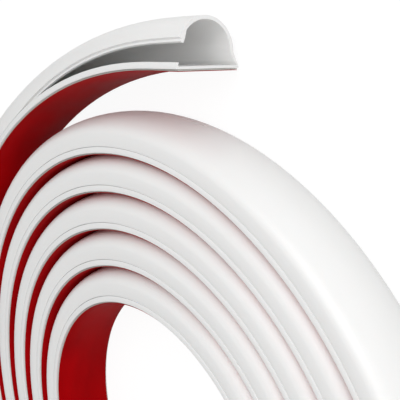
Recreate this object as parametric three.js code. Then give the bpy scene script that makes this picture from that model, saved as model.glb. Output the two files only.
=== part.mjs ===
import * as THREE from 'three';

// Adhesive cord cover: one long extrusion with a flat adhesive base and a snap-shut dome,
// wound into a coil that lies on its hinge side, with its free end loose and sprung open.
// Millimetres, +Z up. The coil's axis is Z, so the cover's width runs along Z.

// Cross-section of the extrusion, from the hinge side (across = 0) to the opening side
const coverWidth = 30;
const coverHeight = 15;
const wallThickness = 1.4;
const baseThickness = 1;
const sideHeight = 7.6; // base to the springing of the elliptical dome
const hingeThickness = 0.7; // thinned root of the side wall that the dome folds on
const hingeHeight = 1.2;

// Snap along the opening side: an undercut upstand on the base and a tongue on the dome
const upstandHeight = 2.5;
const upstandTopThickness = 1.2;
const upstandRootThickness = 0.8;
const snapClearance = 0.3;
const tongueThickness = 1.2;
const tongueDrop = 1.2; // below the dome's lip
const tongueShoulder = 0.8; // height of the tongue's root above the lip

// Dome when it is sprung open: a wider arc about its own centre, in section coordinates
const openArcAcross = 16.2;
const openArcOut = 5.8;
const openArcRadius = 13.5;
const openLipAngle = 24.7; // degrees above level, seen from the arc's centre
const openingLength = 124; // from the free end to where the lip leaves the base
const openingEase = 1.4; // above 1 the gap grows fastest at its start

// Adhesive tape and its peel-off liner, under the base
const tapeThickness = 0.5;
const linerThickness = 0.2;
const tapeMargin = 1;
const glueLine = 0.1;

// Winding, measured at the adhesive face of the base
const coreRadius = 70.5;
const windingGap = 0.3;
const innerEndAngle = 213.75; // degrees about Z
const leadStartAngle = 75.7; // where the free end's straight length begins
const fullTurns = 5; // whole turns between those two angles
const stationsPerTurn = 32;

// Free end: it stands off the coil, leans and lifts, and then straightens
const looseStandOff = 8.3;
const looseLean = 5.5; // degrees, its opening side outwards
const looseLift = 1.2;
const looseAngle = 170; // degrees over which stand-off, lean and lift grow
const straightenAngle = 38.8; // degrees over which the curve straightens
const straightenRate = 21.8; // mm of extra radius per radian squared
const leadLength = 17.5;
const leadStations = 3;
const endStationsAngle = 55; // before the lead, where stations stand closer
const endStationsRatio = 4;

// Faces round the dome
const outerDomeSteps = 9;
const innerDomeSteps = 7;

const radians = THREE.MathUtils.degToRad;
const pitch = coverHeight + 2 * glueLine + tapeThickness + linerThickness + windingGap;
const woundAngle = radians(innerEndAngle - leadStartAngle + 360 * fullTurns);
const straightenStart = woundAngle - radians(straightenAngle);
const lipHeight = upstandHeight + snapClearance;

// Share of the dome's length that the arch takes, the rest being its straight opening side
const archRise = coverHeight - sideHeight;
const archLength = Math.PI * Math.sqrt((coverWidth ** 2 / 4 + archRise ** 2) / 2);
const archShare = archLength / (archLength + sideHeight - lipHeight);

// A point of the section: x is across the base, y is out from the adhesive face
const at = (across, out) => new THREE.Vector2(across, out);

// Dome surface at a share of its length from the far springing to the lip, 'inset' below the
// outer face. Shut it is a half-ellipse over a straight side; open it is a circular arc.
function domePoint(share, inset, openness) {
  const arch = Math.min(share / archShare, 1) * Math.PI;
  const down = Math.max(share - archShare, 0) / (1 - archShare);
  const shut = at(
    coverWidth / 2 - (coverWidth / 2 - inset) * Math.cos(arch),
    sideHeight + (archRise - inset) * Math.sin(arch) - (sideHeight - lipHeight) * down,
  );
  const angle = Math.PI - share * (Math.PI - radians(openLipAngle));
  const open = at(Math.cos(angle), Math.sin(angle))
    .multiplyScalar(openArcRadius - inset)
    .add(at(openArcAcross, openArcOut));
  return shut.lerp(open, openness);
}

function domePoints(inset, openness, steps) {
  return Array.from({ length: steps + 1 }, (_, i) =>
    domePoint((archShare * i) / steps, inset, openness));
}

// Tongue and lip, given by depth behind the lip's outer face and height above its end. The
// tongue widens towards its tip, as the upstand does towards its top, so the two hook together.
function lipPoints(openness) {
  const edge = domePoint(1, 0, openness);
  const tilt = openness * radians(openLipAngle);
  const inward = at(-Math.cos(tilt), -Math.sin(tilt));
  const upward = at(-Math.sin(tilt), Math.cos(tilt));
  const place = (depth, height) =>
    edge.clone().addScaledVector(inward, depth).addScaledVector(upward, height);

  const undercut = upstandTopThickness - upstandRootThickness;
  const neckDepth = upstandTopThickness + snapClearance;
  const tipShare = (tongueDrop - snapClearance) / (upstandHeight - baseThickness);
  const tipDepth = neckDepth - undercut * tipShare;
  const backDepth = neckDepth + tongueThickness;
  return [
    place(backDepth, tongueShoulder),
    place(backDepth, -tongueDrop),
    place(tipDepth, -tongueDrop),
    place(neckDepth, 0),
    edge,
  ];
}

// Closed outline of the extrusion, counter-clockwise, at an openness from 0, shut, to 1
function coverOutline(openness) {
  const hingeLean = (openArcAcross - openArcRadius) * openness;
  const hingeTop = at(wallThickness, baseThickness + hingeHeight);
  hingeTop.x += (hingeLean * hingeHeight) / (openArcOut - baseThickness);
  return [
    at(0, 0),
    at(coverWidth, 0),
    at(coverWidth, upstandHeight),
    at(coverWidth - upstandTopThickness, upstandHeight),
    at(coverWidth - upstandRootThickness, baseThickness),
    at(hingeThickness, baseThickness),
    hingeTop,
    ...domePoints(wallThickness, openness, innerDomeSteps),
    ...lipPoints(openness),
    ...domePoints(0, openness, outerDomeSteps).reverse(),
  ];
}

// Rectangular strip under the base, its top 'depth' below the adhesive face
function stripOutline(depth, thickness) {
  return [
    at(tapeMargin, -depth - thickness),
    at(coverWidth - tapeMargin, -depth - thickness),
    at(coverWidth - tapeMargin, -depth),
    at(tapeMargin, -depth),
  ];
}

// Share of the stand-off, lean and lift at an angle wound outwards from the inner end
function loosenessAt(wound) {
  const share = THREE.MathUtils.clamp((wound - straightenStart) / radians(looseAngle) + 1, 0, 1);
  return (1 - Math.cos(Math.PI * share)) / 2;
}

// Radius of the base's hinge corner: an even spiral, then the stand-off, then a quadratic that
// opens the curve towards a straight line
function windingRadius(wound) {
  const spiral = coreRadius + (pitch * wound) / (2 * Math.PI);
  const straightened = Math.max(wound - straightenStart, 0);
  return spiral + looseStandOff * loosenessAt(wound) + straightenRate * straightened ** 2;
}

function windingPoint(wound) {
  const angle = radians(innerEndAngle) - wound;
  return at(Math.cos(angle), Math.sin(angle)).multiplyScalar(windingRadius(wound));
}

function windingHeading(wound) {
  const nudge = 1e-4;
  return windingPoint(wound + nudge).sub(windingPoint(wound - nudge)).normalize();
}

// Angles of the stations. Every turn has them at the same places, so that the facets of one turn
// lie along the next, and they stand closer before the lead, where the dome opens.
function stationAngles() {
  const angles = [];
  const step = (2 * Math.PI) / stationsPerTurn;
  const closerFrom = woundAngle - radians(endStationsAngle);
  for (let wound = 0; wound < woundAngle - step / (2 * endStationsRatio);) {
    angles.push(wound);
    wound += wound < closerFrom ? step : step / endStationsRatio;
  }
  return [...angles, woundAngle];
}

// Stations along the base's hinge corner: place in plan, heading towards the free end, looseness
// and distance run
function windingStations() {
  const stations = stationAngles().map((wound) => ({
    place: windingPoint(wound),
    heading: windingHeading(wound),
    looseness: loosenessAt(wound),
  }));
  const leadStart = stations[stations.length - 1];
  for (let i = 1; i <= leadStations; i += 1) {
    const run = (leadLength * i) / leadStations;
    const place = leadStart.place.clone().addScaledVector(leadStart.heading, run);
    stations.push({ ...leadStart, place });
  }
  let distance = 0;
  stations.forEach((station, i) => {
    distance += i > 0 ? station.place.distanceTo(stations[i - 1].place) : 0;
    station.distance = distance;
  });
  return stations;
}

const stations = windingStations();
const freeEnd = stations[stations.length - 1];

// How far the dome is sprung open at a station, from 0 to 1 at the free end
function opennessAt(station) {
  const share = 1 - (freeEnd.distance - station.distance) / openingLength;
  return 1 - (1 - Math.max(share, 0)) ** openingEase;
}

// Closed skin over the outlines that 'outlineAt' gives at each station, with a cap at each end.
// A four-cornered patch is split from its low corner at the farther station, so that the skins of
// two pieces that lie on each other keep their distance where the section leans.
function loft(outlineAt) {
  const outlines = stations.map((station) => outlineAt(opennessAt(station)));
  const count = outlines[0].length;
  const positions = [];
  outlines.forEach((outline, i) => {
    const { place, heading, looseness } = stations[i];
    const outward = at(-heading.y, heading.x);
    outline.forEach((point) => {
      const leant = point.clone().rotateAround(at(0, 0), radians(looseLean) * looseness);
      const plan = place.clone().addScaledVector(outward, leant.y);
      positions.push(plan.x, plan.y, leant.x + looseLift * looseness);
    });
  });

  const faces = [];
  for (let i = 0; i < outlines.length - 1; i += 1) {
    for (let j = 0; j < count; j += 1) {
      const a = i * count + j;
      const b = i * count + ((j + 1) % count);
      if (outlines[i][j].x <= outlines[i][(j + 1) % count].x) {
        faces.push(a, a + count, b, b, a + count, b + count);
      } else {
        faces.push(a, a + count, b + count, a, b + count, b);
      }
    }
  }
  const lastRow = (outlines.length - 1) * count;
  THREE.ShapeUtils.triangulateShape(outlines[0], []).forEach(([a, b, c]) => {
    faces.push(a, b, c);
  });
  THREE.ShapeUtils.triangulateShape(outlines[outlines.length - 1], []).forEach(([a, b, c]) => {
    faces.push(lastRow + a, lastRow + c, lastRow + b);
  });

  const geometry = new THREE.BufferGeometry();
  geometry.setAttribute('position', new THREE.Float32BufferAttribute(positions, 3));
  geometry.setIndex(faces);
  geometry.computeVertexNormals();
  return geometry;
}

function makePiece(name, outlineAt, color, roughness) {
  const material = new THREE.MeshStandardMaterial({ color, roughness, metalness: 0 });
  const piece = new THREE.Mesh(loft(outlineAt), material);
  piece.name = name;
  return piece;
}

const coil = new THREE.Group();
const linerDepth = 2 * glueLine + tapeThickness;
coil.add(makePiece('cover', coverOutline, 0xf0f0ee, 0.35));
coil.add(makePiece('adhesive_tape', () => stripOutline(glueLine, tapeThickness), 0xd8d4ca, 0.8));
coil.add(makePiece('release_liner', () => stripOutline(linerDepth, linerThickness), 0xb01018, 0.3));

// The straight lead is turned to run along +X, and the origin is put under the coil's middle
coil.rotation.z = -Math.atan2(freeEnd.heading.y, freeEnd.heading.x);
const box = new THREE.Box3().setFromObject(coil, true);
const middle = box.getCenter(new THREE.Vector3());
coil.position.set(-middle.x, -middle.y, -box.min.z);

const cordCover = new THREE.Group();
cordCover.add(coil);

export default cordCover;
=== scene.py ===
import math

import bpy
import numpy as np
from mathutils import Matrix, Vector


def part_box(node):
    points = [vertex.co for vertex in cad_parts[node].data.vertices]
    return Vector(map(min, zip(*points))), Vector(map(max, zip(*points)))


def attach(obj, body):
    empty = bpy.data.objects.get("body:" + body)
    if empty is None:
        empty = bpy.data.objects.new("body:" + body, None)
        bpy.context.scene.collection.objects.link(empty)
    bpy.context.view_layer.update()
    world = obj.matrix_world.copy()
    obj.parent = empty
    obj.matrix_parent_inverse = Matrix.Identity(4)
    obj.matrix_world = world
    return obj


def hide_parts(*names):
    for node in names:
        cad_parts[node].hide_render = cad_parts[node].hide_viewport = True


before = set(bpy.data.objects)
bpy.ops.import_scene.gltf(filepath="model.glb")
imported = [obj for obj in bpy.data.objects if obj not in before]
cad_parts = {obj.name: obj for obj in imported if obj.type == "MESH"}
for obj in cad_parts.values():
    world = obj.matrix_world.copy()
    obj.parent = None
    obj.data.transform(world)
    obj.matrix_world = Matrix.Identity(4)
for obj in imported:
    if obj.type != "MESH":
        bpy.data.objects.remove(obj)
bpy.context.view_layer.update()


# The winding
# The cover leaves its extruder straight and is wound flat on a core, so every piece below runs
# along one path: an even spiral whose last turn stands off the coil, leans and ends straight.
MM = 0.001
CORE_RADIUS = 70.5 * MM
WINDING_PITCH = 16.2 * MM
INNER_END_ANGLE = math.radians(213.75)
LEAD_START_ANGLE = math.radians(75.7)
FULL_TURNS = 5
STAND_OFF = 8.3 * MM
LEAN = math.radians(5.5)
LIFT = 1.2 * MM
LOOSE_ANGLE = math.radians(170)
STRAIGHTEN_ANGLE = math.radians(38.8)
STRAIGHTEN_RATE = 21.8 * MM
LEAD_LENGTH = 17.5 * MM
WOUND_ANGLE = INNER_END_ANGLE - LEAD_START_ANGLE + 2 * math.pi * FULL_TURNS
STRAIGHTEN_START = WOUND_ANGLE - STRAIGHTEN_ANGLE
STATIONS_PER_TURN = 144
LEAD_STATIONS = 10


def looseness_at(wound):
    """Share of the stand-off, lean and lift: a cosine ease from 0 to 1 over the loose angle."""
    share = np.clip((wound - STRAIGHTEN_START) / LOOSE_ANGLE + 1, 0, 1)
    return (1 - np.cos(math.pi * share)) / 2


def winding_points(wound):
    """Places of the base's hinge corner at angles wound outwards from the inner end.

    The radius is the core plus the pitch for each turn, plus the stand-off times the looseness,
    plus a quadratic in the last stretch that opens the curve towards a straight line.
    """
    radius = CORE_RADIUS + WINDING_PITCH * wound / (2 * math.pi)
    radius += STAND_OFF * looseness_at(wound)
    radius += STRAIGHTEN_RATE * np.maximum(wound - STRAIGHTEN_START, 0) ** 2
    angle = INNER_END_ANGLE - wound
    return np.stack([radius * np.cos(angle), radius * np.sin(angle)], axis=1)


def unit(vectors):
    """Vectors of length one along the last axis."""
    return vectors / np.linalg.norm(vectors, axis=-1, keepdims=True)


def winding_stations():
    """Places, headings, looseness and distances run along the winding and its straight lead.

    Headings are central differences of the winding's formula. The lead repeats the last heading
    and looseness.
    """
    nudge = 1e-4
    count = int(WOUND_ANGLE / (2 * math.pi) * STATIONS_PER_TURN)
    wound = np.linspace(0, WOUND_ANGLE, count)
    places = winding_points(wound)
    headings = unit(winding_points(wound + nudge) - winding_points(wound - nudge))
    along = np.linspace(0, LEAD_LENGTH, LEAD_STATIONS + 1)[1:, None]
    places = np.concatenate([places, places[-1] + along * headings[-1]])
    headings = np.concatenate([headings, np.repeat(headings[-1:], LEAD_STATIONS, axis=0)])
    looseness = np.concatenate([looseness_at(wound), np.ones(LEAD_STATIONS)])
    steps = np.linalg.norm(np.diff(places, axis=0), axis=1)
    return places, headings, looseness, np.concatenate([[0], np.cumsum(steps)])


places, headings, looseness, distances = winding_stations()

# The straight lead runs along +X. The CAD boxes give where the coil's axis stands.
lead_x, lead_y = headings[-1]
turn_to_x = np.array([[lead_x, -lead_y], [lead_y, lead_x]])
places = places @ turn_to_x
headings = headings @ turn_to_x
outwards = np.stack([-headings[:, 1], headings[:, 0]], axis=1)


# The cover
# One extrusion of rigid white vinyl: a flat base, a side wall thinned at its root to a hinge, a
# half-round dome, and a tongue that snaps behind an undercut upstand along the opening side.
COVER_WIDTH = 30 * MM
COVER_HEIGHT = 15 * MM
WALL = 1.4 * MM
BASE = 1 * MM
SIDE_HEIGHT = 7.6 * MM
HINGE_THICKNESS = 0.7 * MM
HINGE_HEIGHT = 1.2 * MM
UPSTAND_HEIGHT = 2.5 * MM
UPSTAND_TOP = 1.2 * MM
UPSTAND_ROOT = 0.8 * MM
SNAP_CLEARANCE = 0.15 * MM
TONGUE_THICKNESS = 1.2 * MM
TONGUE_DROP = 1.2 * MM
TONGUE_SHOULDER = 0.8 * MM
OPEN_ARC_CENTRE = np.array([16.2, 5.8]) * MM
OPEN_ARC_RADIUS = 13.5 * MM
OPEN_LIP_ANGLE = math.radians(24.7)
OPENING_LENGTH = 124 * MM
OPENING_EASE = 1.4
OUTER_DOME_STEPS = 30
INNER_DOME_STEPS = 14
EDGE_ROUNDING = 0.2 * MM
ROUNDING_SIDE_SHARE = 0.4
SHARP_EDGE_ANGLE = math.radians(60)
LIP_HEIGHT = UPSTAND_HEIGHT + SNAP_CLEARANCE
ARCH_RISE = COVER_HEIGHT - SIDE_HEIGHT
ARCH_LENGTH = math.pi * math.sqrt((COVER_WIDTH**2 / 4 + ARCH_RISE**2) / 2)
ARCH_SHARE = ARCH_LENGTH / (ARCH_LENGTH + SIDE_HEIGHT - LIP_HEIGHT)

opened = np.maximum(1 - (distances[-1] - distances) / OPENING_LENGTH, 0)
openness = (1 - (1 - opened) ** OPENING_EASE)[:, None]


def dome_points(share, inset):
    """Points of the dome at every station, at shares of its length from far springing to lip.

    Shut it is a half-ellipse over a straight opening side. Open it is a circular arc. The
    station's openness blends the two. Returns stations by shares by (across, out).
    """
    share = np.atleast_1d(share)
    arch = np.minimum(share / ARCH_SHARE, 1) * math.pi
    down = np.maximum(share - ARCH_SHARE, 0) / (1 - ARCH_SHARE)
    shut_across = COVER_WIDTH / 2 - (COVER_WIDTH / 2 - inset) * np.cos(arch)
    shut_out = SIDE_HEIGHT + (ARCH_RISE - inset) * np.sin(arch)
    shut_out = shut_out - (SIDE_HEIGHT - LIP_HEIGHT) * down
    angle = math.pi - share * (math.pi - OPEN_LIP_ANGLE)
    open_across = OPEN_ARC_CENTRE[0] + (OPEN_ARC_RADIUS - inset) * np.cos(angle)
    open_out = OPEN_ARC_CENTRE[1] + (OPEN_ARC_RADIUS - inset) * np.sin(angle)
    across = shut_across + (open_across - shut_across) * openness
    out = shut_out + (open_out - shut_out) * openness
    return np.stack([across, out], axis=2)


def lip_points(depths_and_heights):
    """Points near the lip at every station, by depth behind its face and height above its end.

    The lip's own axes tilt with the openness, up to the angle it has on the open arc.
    """
    depth, height = np.array(depths_and_heights).T
    tilt = openness * OPEN_LIP_ANGLE
    across = -np.cos(tilt) * depth - np.sin(tilt) * height
    out = -np.sin(tilt) * depth + np.cos(tilt) * height
    return dome_points(1, 0) + np.stack([across, out], axis=2)


def fixed_points(points):
    """The same (across, out) points at every station."""
    return np.broadcast_to(np.array(points), (len(places), len(points), 2))


def rounded(outline, radius):
    """The outline with each corner of non-zero radius replaced by three points of a curve.

    They lie on the quadratic curve that leaves one side at the radius from the corner, or at a
    fixed share of the side where that is less, and joins the other side likewise.
    """
    before = np.roll(outline, 1, axis=1) - outline
    after = np.roll(outline, -1, axis=1) - outline
    counts = np.where(radius > 0, 3, 1)
    which = np.repeat(np.arange(len(radius)), counts)
    step = np.arange(len(which)) - np.repeat(np.cumsum(counts) - counts, counts)
    share = np.where(radius[which] > 0, step / 2, 0.5)[:, None]
    ends = []
    for side in (before, after):
        reach = np.minimum(radius, ROUNDING_SIDE_SHARE * np.linalg.norm(side, axis=2))
        ends.append((outline + unit(side) * reach[:, :, None])[:, which])
    corner = outline[:, which]
    return (1 - share) ** 2 * ends[0] + 2 * share * (1 - share) * corner + share**2 * ends[1]


def cover_outline():
    """The extrusion's closed outline, counter-clockwise, at every station."""
    undercut = UPSTAND_TOP - UPSTAND_ROOT
    neck = UPSTAND_TOP + SNAP_CLEARANCE
    tip = neck - undercut * (TONGUE_DROP - SNAP_CLEARANCE) / (UPSTAND_HEIGHT - BASE)
    back = neck + TONGUE_THICKNESS
    base = fixed_points([
        (0, 0),
        (COVER_WIDTH, 0),
        (COVER_WIDTH, UPSTAND_HEIGHT),
        (COVER_WIDTH - UPSTAND_TOP, UPSTAND_HEIGHT),
        (COVER_WIDTH - UPSTAND_ROOT, BASE),
        (HINGE_THICKNESS, BASE),
    ])
    lean = (OPEN_ARC_CENTRE[0] - OPEN_ARC_RADIUS) * openness
    hinge_across = WALL + lean * HINGE_HEIGHT / (OPEN_ARC_CENTRE[1] - BASE)
    hinge_out = np.full_like(hinge_across, BASE + HINGE_HEIGHT)
    hinge = np.stack([hinge_across, hinge_out], axis=2)
    inner = dome_points(np.linspace(0, ARCH_SHARE, INNER_DOME_STEPS + 1), WALL)
    lip = lip_points([
        (back, TONGUE_SHOULDER),
        (back, -TONGUE_DROP),
        (tip, -TONGUE_DROP),
        (neck, 0),
        (0, 0),
    ])
    outer = dome_points(np.linspace(ARCH_SHARE, 0, OUTER_DOME_STEPS + 1), 0)
    outline = np.concatenate([base, hinge, inner, lip, outer], axis=1)
    radius = np.concatenate([
        np.full(base.shape[1] + hinge.shape[1], EDGE_ROUNDING),
        np.zeros(inner.shape[1]),
        np.full(lip.shape[1], EDGE_ROUNDING),
        np.zeros(outer.shape[1]),
    ])
    return rounded(outline, radius)


def leant_outline(outline):
    """The outline turned about the base's hinge corner by each station's lean, and lifted."""
    lean = (LEAN * looseness)[:, None]
    across, out = outline[:, :, 0], outline[:, :, 1]
    leant_across = across * np.cos(lean) - out * np.sin(lean) + (LIFT * looseness)[:, None]
    return np.stack([leant_across, across * np.sin(lean) + out * np.cos(lean)], axis=2)


def swept_mesh(name, outline):
    """A closed mesh of an outline carried along the winding, capped flat at both ends.

    The outline is first turned by the station's lean and lifted. A point is then the station's
    place, plus its outward direction times the outline's height, with the outline's across as Z.
    The map 'run' holds metres along the cover and round its outline, and X and Z on the caps.
    """
    rows, count = outline.shape[:2]
    leant = leant_outline(outline)
    plan = places[:, None, :] + outwards[:, None, :] * leant[:, :, 1:]
    points = np.concatenate([plan, leant[:, :, :1]], axis=2).reshape(-1, 3)
    row = np.arange(rows - 1)[:, None] * count
    here = np.arange(count)[None, :]
    after = np.roll(here, -1, axis=1)
    corners = [row + here, row + here + count, row + after + count, row + after]
    quads = np.stack(corners, axis=2).reshape(-1, 4)
    caps = [list(range(count)), list(range(rows * count - 1, (rows - 1) * count - 1, -1))]
    mesh = bpy.data.meshes.new(name)
    mesh.from_pydata(points.tolist(), [], quads.tolist() + caps)

    side = np.linalg.norm(np.roll(outline[0], -1, axis=0) - outline[0], axis=1)
    around = np.concatenate([[0], np.cumsum(side)])
    run = np.zeros((rows - 1, count, 4, 2))
    run[:, :, 0::3, 0] = distances[:-1, None, None]
    run[:, :, 1:3, 0] = distances[1:, None, None]
    run[:, :, :2, 1] = around[:-1, None]
    run[:, :, 2:, 1] = around[1:, None]
    cap_run = points[np.array(caps).ravel()][:, [0, 2]]
    layer = mesh.uv_layers.new(name="run")
    layer.data.foreach_set("uv", np.concatenate([run.reshape(-1, 2), cap_run]).ravel())
    mesh.polygons.foreach_set("use_smooth", np.ones(len(mesh.polygons), dtype=bool))
    mesh.set_sharp_from_angle(angle=SHARP_EDGE_ANGLE)
    mesh.update()
    piece = bpy.data.objects.new(name, mesh)
    bpy.context.scene.collection.objects.link(piece)
    return piece


GLUE_LINE = 0.1 * MM
TAPE_THICKNESS = 0.5 * MM
TAPE_MARGIN = 1 * MM


def axis_on_frame():
    """Where the coil's axis stands, as seen from the boxes of the CAD pieces.

    The crest of the dome reaches the CAD cover's +X side, and the liner on the straight lead
    reaches the CAD liner's +Y side.
    """
    crest_x = (places + outwards * COVER_HEIGHT)[:, 0].max()
    liner = leant_outline(np.broadcast_to(
        [[COVER_WIDTH - TAPE_MARGIN, -2 * GLUE_LINE - TAPE_THICKNESS]], (len(places), 1, 2)
    ))
    liner_y = (places[:, 1] + outwards[:, 1] * liner[:, 0, 1]).max()
    return np.array([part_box("cover")[1][0] - crest_x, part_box("release_liner")[1][1] - liner_y])


coil_axis = axis_on_frame()
places = places + coil_axis


def new_material(name):
    """A material with its node tree, its Principled shader and a helper that adds nodes."""
    material = bpy.data.materials.new(name)
    material.use_nodes = True
    tree = material.node_tree
    shader = tree.nodes["Principled BSDF"]

    def add(kind, inputs=None, **settings):
        node = tree.nodes.new(kind)
        for key, value in settings.items():
            setattr(node, key, value)
        for key, value in (inputs or {}).items():
            if isinstance(value, bpy.types.NodeSocket):
                tree.links.new(value, node.inputs[key])
            else:
                node.inputs[key].default_value = value
        return node

    return material, tree, shader, add


def run_noise(add, along_scale, around_scale, detail=2.0, roughness=0.5):
    """Noise on the 'run' map, stretched by separate scales along and round the cover."""
    run = add("ShaderNodeUVMap", uv_map="run")
    stretch = add(
        "ShaderNodeMapping",
        {"Vector": run.outputs["UV"], "Scale": (along_scale, around_scale, 1)},
    )
    return add(
        "ShaderNodeTexNoise",
        {"Vector": stretch.outputs["Vector"], "Scale": 1, "Detail": detail,
         "Roughness": roughness},
    )


def white_vinyl():
    """Smooth white vinyl: die lines along the extrusion, slight orange peel, hazy gloss."""
    material, tree, shader, add = new_material("white_vinyl")
    shader.inputs["Subsurface Weight"].default_value = 0.12
    shader.inputs["Subsurface Radius"].default_value = (0.0012, 0.001, 0.0009)
    shader.inputs["Subsurface Scale"].default_value = 1.0
    shader.inputs["IOR"].default_value = 1.52
    haze = run_noise(add, along_scale=9, around_scale=60, detail=3)
    tint = add("ShaderNodeMix", {"Factor": haze.outputs["Fac"]}, data_type="RGBA")
    tint.inputs["A"].default_value = (0.83, 0.828, 0.82, 1)
    tint.inputs["B"].default_value = (0.87, 0.868, 0.862, 1)
    tree.links.new(tint.outputs["Result"], shader.inputs["Base Color"])
    gloss = add(
        "ShaderNodeMapRange",
        {"Value": haze.outputs["Fac"], "From Min": 0.3, "From Max": 0.7,
         "To Min": 0.27, "To Max": 0.36},
    )
    tree.links.new(gloss.outputs["Result"], shader.inputs["Roughness"])
    die_lines = run_noise(add, along_scale=3, around_scale=2600)
    orange_peel = run_noise(add, along_scale=420, around_scale=420)
    height = add(
        "ShaderNodeMath",
        {0: die_lines.outputs["Fac"], 1: orange_peel.outputs["Fac"]},
        operation="ADD",
    )
    bump = add(
        "ShaderNodeBump",
        {"Height": height.outputs["Value"], "Strength": 0.25, "Distance": 0.00002},
    )
    tree.links.new(bump.outputs["Normal"], shader.inputs["Normal"])
    return material


cover = swept_mesh("cover_extrusion", cover_outline())
cover.data.materials.append(white_vinyl())
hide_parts("cover")
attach(cover, "root")


# The adhesive tape
# Double-sided closed-cell foam, slit to a width just inside the base's edges and rolled onto
# it. Only its cut edges show, between the base and the liner.
def strip_outline(depth, thickness):
    """A rectangle under the base at every station, its top at a depth below the base.

    Its corners are rounded by a quarter of its thickness.
    """
    outline = fixed_points([
        (TAPE_MARGIN, -depth - thickness),
        (COVER_WIDTH - TAPE_MARGIN, -depth - thickness),
        (COVER_WIDTH - TAPE_MARGIN, -depth),
        (TAPE_MARGIN, -depth),
    ])
    return rounded(outline, np.full(4, thickness / 4))


def foam_tape():
    """Matt grey foam whose cut cells show as fine speckle and pits."""
    material, tree, shader, add = new_material("foam_tape")
    shader.inputs["Roughness"].default_value = 0.85
    cells = run_noise(add, along_scale=5200, around_scale=5200, detail=3, roughness=0.6)
    tint = add("ShaderNodeMix", {"Factor": cells.outputs["Fac"]}, data_type="RGBA")
    tint.inputs["A"].default_value = (0.3, 0.29, 0.27, 1)
    tint.inputs["B"].default_value = (0.62, 0.6, 0.56, 1)
    tree.links.new(tint.outputs["Result"], shader.inputs["Base Color"])
    bump = add(
        "ShaderNodeBump",
        {"Height": cells.outputs["Fac"], "Strength": 0.6, "Distance": 0.00008},
    )
    tree.links.new(bump.outputs["Normal"], shader.inputs["Normal"])
    return material


tape = swept_mesh("adhesive_tape_strip", strip_outline(GLUE_LINE, TAPE_THICKNESS))
tape.data.materials.append(foam_tape())
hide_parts("adhesive_tape")
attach(tape, "root")


# The release liner
# Red polyethylene film on the tape's outer face, cut in one pass with the tape. It has little
# gloss, and carries the faint ripple of a film laid over foam.
LINER_THICKNESS = 0.2 * MM


def red_film():
    """Deep red film of little gloss, with a soft ripple and clouds in its colour."""
    material, tree, shader, add = new_material("red_liner")
    shader.inputs["Specular IOR Level"].default_value = 0.03
    cloud = run_noise(add, along_scale=30, around_scale=70, detail=3)
    tint = add("ShaderNodeMix", {"Factor": cloud.outputs["Fac"]}, data_type="RGBA")
    tint.inputs["A"].default_value = (0.25, 0.0003, 0.0016, 1)
    tint.inputs["B"].default_value = (0.53, 0.0005, 0.003, 1)
    tree.links.new(tint.outputs["Result"], shader.inputs["Base Color"])
    gloss = add(
        "ShaderNodeMapRange",
        {"Value": cloud.outputs["Fac"], "From Min": 0.3, "From Max": 0.7,
         "To Min": 0.34, "To Max": 0.44},
    )
    tree.links.new(gloss.outputs["Result"], shader.inputs["Roughness"])
    ripple = run_noise(add, along_scale=160, around_scale=260)
    bump = add(
        "ShaderNodeBump",
        {"Height": ripple.outputs["Fac"], "Strength": 0.25, "Distance": 0.00006},
    )
    tree.links.new(bump.outputs["Normal"], shader.inputs["Normal"])
    return material


liner = swept_mesh(
    "release_liner_film", strip_outline(2 * GLUE_LINE + TAPE_THICKNESS, LINER_THICKNESS)
)
liner.data.materials.append(red_film())
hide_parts("release_liner")
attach(liner, "root")


# The floor, the lamps and the camera
# The coil lies on a plain white floor, lit by a white surround and two softboxes high on the
# camera's side. The camera stands as the photograph's did, with +Y up in the picture.
FLOOR_HALF = 4.0
FLOOR_DROP = 0.00005
FLOOR_VEIL = 0.84
FLOOR_WHITE = 1.08
CAMERA_FROM_AXIS = np.array([0.32498, 0.18246, 0.2356])
CAMERA_RIGHT = np.array([0.63066, -0.12516, -0.7659])
CAMERA_DOWN = np.array([0.05529, -0.97716, 0.20521])
FOCAL_PIXELS = 927.27
FRAME_PIXELS = 400
SENSOR = 36
SURROUND_LIGHT = 0.58
SURROUND_GLOSS = 0.3
LAMP_AIM = (0, 0.05, 0)
LAMP_TOP = (0.0, 0.3, 1.0)


def make_floor():
    """A square sheet under the part, seen through a white veil that leaves its shadow faint."""
    corners = [(-1, -1), (1, -1), (1, 1), (-1, 1)]
    points = [(x * FLOOR_HALF, y * FLOOR_HALF, -FLOOR_DROP) for x, y in corners]
    mesh = bpy.data.meshes.new("floor")
    mesh.from_pydata(points, [], [(0, 1, 2, 3)])
    floor = bpy.data.objects.new("floor", mesh)
    bpy.context.scene.collection.objects.link(floor)
    material, tree, shader, add = new_material("floor_white")
    shader.inputs["Base Color"].default_value = (0.8, 0.8, 0.8, 1)
    shader.inputs["Roughness"].default_value = 1.0
    shader.inputs["Specular IOR Level"].default_value = 0.0
    path = add("ShaderNodeLightPath")
    veil = add(
        "ShaderNodeMath",
        {0: path.outputs["Is Camera Ray"], 1: FLOOR_VEIL},
        operation="MULTIPLY",
    )
    white = add("ShaderNodeEmission", {"Strength": FLOOR_WHITE})
    mixed = add("ShaderNodeMixShader", {"Fac": veil.outputs["Value"]})
    tree.links.new(shader.outputs["BSDF"], mixed.inputs[1])
    tree.links.new(white.outputs["Emission"], mixed.inputs[2])
    tree.links.new(mixed.outputs["Shader"], tree.nodes["Material Output"].inputs["Surface"])
    floor.data.materials.append(material)


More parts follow.
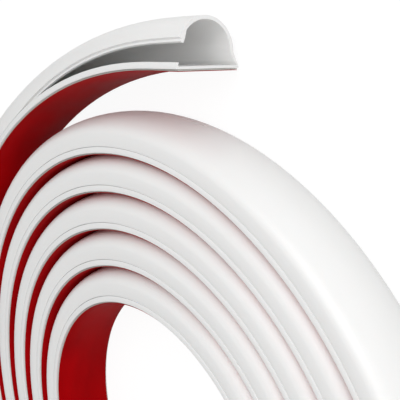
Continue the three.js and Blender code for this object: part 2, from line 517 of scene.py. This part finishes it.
def make_world():
    """A white surround: full white where it is seen, dimmer as light, and dimmest in gloss."""
    world = bpy.data.worlds.new("surround")
    bpy.context.scene.world = world
    world.use_nodes = True
    tree = world.node_tree
    path = tree.nodes.new("ShaderNodeLightPath")
    lit = tree.nodes.new("ShaderNodeMix")
    lit.inputs["A"].default_value = SURROUND_LIGHT
    lit.inputs["B"].default_value = SURROUND_GLOSS
    tree.links.new(path.outputs["Is Glossy Ray"], lit.inputs["Factor"])
    seen = tree.nodes.new("ShaderNodeMix")
    seen.inputs["B"].default_value = 1.0
    tree.links.new(lit.outputs["Result"], seen.inputs["A"])
    tree.links.new(path.outputs["Is Camera Ray"], seen.inputs["Factor"])
    background = tree.nodes["Background"]
    tree.links.new(seen.outputs["Result"], background.inputs["Strength"])
    background.inputs["Color"].default_value = (1, 1, 1, 1)


def add_softbox(name, place, size, watts):
    """A square area lamp at a place, facing the lamps' common aim."""
    data = bpy.data.lights.new(name, "AREA")
    data.shape = "SQUARE"
    data.size = size
    data.energy = watts
    lamp = bpy.data.objects.new(name, data)
    toward = unit(np.array(LAMP_AIM) - np.array(place))
    side = unit(np.cross(toward, LAMP_TOP))
    up = np.cross(side, toward)
    axes = np.stack([side, up, -toward], axis=1)
    lamp.matrix_world = Matrix.Translation(place) @ Matrix(axes.tolist()).to_4x4()
    bpy.context.scene.collection.objects.link(lamp)


def make_camera():
    """The photograph's camera, held to the coil as it was wound and so turned along with it."""
    data = bpy.data.cameras.new("camera")
    data.sensor_width = SENSOR
    data.lens = SENSOR * FOCAL_PIXELS / FRAME_PIXELS
    camera = bpy.data.objects.new("camera", data)
    place, right, down = np.array([CAMERA_FROM_AXIS, CAMERA_RIGHT, CAMERA_DOWN])
    for vector in (place, right, down):
        vector[:2] = vector[:2] @ turn_to_x
    place[:2] += coil_axis
    right = unit(right)
    up = unit(right * np.dot(down, right) - down)
    axes = np.stack([right, up, np.cross(right, up)], axis=1)
    camera.matrix_world = Matrix.Translation(place) @ Matrix(axes.tolist()).to_4x4()
    bpy.context.scene.collection.objects.link(camera)
    bpy.context.scene.camera = camera


make_floor()
make_world()
add_softbox("key", place=(0.45, 0.75, 0.95), size=0.9, watts=5.0)
add_softbox("fill", place=(0.75, 0.35, 0.6), size=0.8, watts=2.4)
make_camera()
bpy.context.scene.view_settings.view_transform = "Standard"
